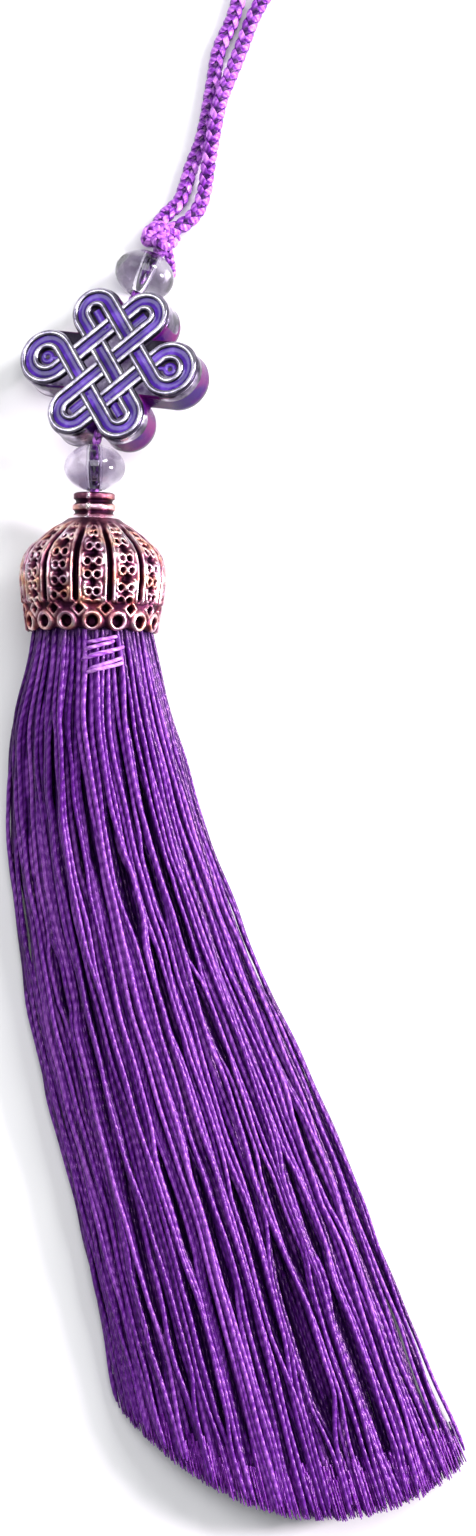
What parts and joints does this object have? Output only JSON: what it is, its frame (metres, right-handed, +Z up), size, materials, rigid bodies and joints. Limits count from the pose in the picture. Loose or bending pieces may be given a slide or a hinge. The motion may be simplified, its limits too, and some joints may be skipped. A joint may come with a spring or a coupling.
{
  "type": "chinese knot tassel",
  "caption": "Hanging ornament lying flat: braided cord loop, glass beads, six-lobed endless knot charm, pierced metal cap and a long silk tassel.",
  "frame": {"origin": "on the table, under the middle of the tassel, charm, beads and stopper knot as they lie, the free hanging loop left out", "axes": "+Y along the tassel from the silk's cut ends towards the hanging loop, +Z up from the table through the charm's face, +X to the right seen from above"},
  "size_m": [0.0461, 0.1852, 0.0142],
  "materials": {
    "braid_cord": "braided rayon, soft sheen",
    "silk_thread": "twisted silk thread, satin",
    "bead_glass": "clear, polished",
    "charm_silver": "bright silver plate with violet enamel channels",
    "cap_copper": "antique rose copper, dark in its recesses"
  },
  "bodies": {
    "root": {"hanging_loop": "braid_cord", "stopper_knot": "braid_cord", "core_cord": "braid_cord", "upper_bead": "bead_glass", "lower_bead": "bead_glass", "knot_charm": "charm_silver", "cap": "cap_copper", "skirt": "silk_thread"}
  },
  "joints": []
}
